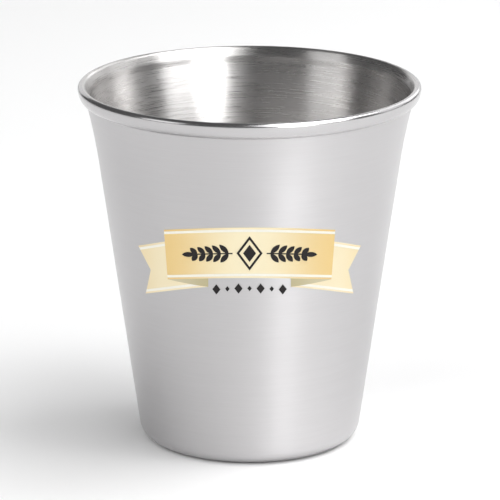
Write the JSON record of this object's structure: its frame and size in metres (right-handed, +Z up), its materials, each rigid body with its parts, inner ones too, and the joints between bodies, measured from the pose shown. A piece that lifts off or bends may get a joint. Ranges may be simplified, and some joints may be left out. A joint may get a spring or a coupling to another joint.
{
  "type": "shot cup",
  "caption": "Small tapered stainless steel shot cup with a satin brushed finish, a rolled rim and a printed gold ribbon banner with a black leaf ornament on the front.",
  "frame": {"origin": "centre of the base, on the plane that the cup stands on", "axes": "+Z up along the cup's axis; the printed front faces -Y; +X to the right seen from the front"},
  "size_m": [0.0476, 0.0476, 0.0508],
  "materials": {
    "brushed_steel": "satin stainless steel, finely brushed round the cup, inside and out",
    "gold_ink": "screen-printed ink, tan gold at its ends to cream in the middle, low gloss",
    "pale_gold_ink": "screen-printed ink, pale cream gold, low gloss",
    "shade_gold_ink": "screen-printed ink, shaded olive cream, low gloss",
    "white_ink": "screen-printed warm white ink, low gloss",
    "black_ink": "screen-printed black ink, low gloss"
  },
  "bodies": {
    "root": {"cup_shell": "brushed_steel", "ribbon_front": "gold_ink", "ribbon_tail_left": "pale_gold_ink", "ribbon_tail_right": "pale_gold_ink", "ribbon_fold_left": "shade_gold_ink", "ribbon_fold_right": "shade_gold_ink", "ribbon_front_lines": "white_ink", "ribbon_tail_lines_left": "white_ink", "ribbon_tail_lines_right": "white_ink", "ornament_medallion": "black_ink", "ornament_sprig_left": "black_ink", "ornament_sprig_right": "black_ink", "ornament_row": "black_ink"}
  },
  "joints": []
}
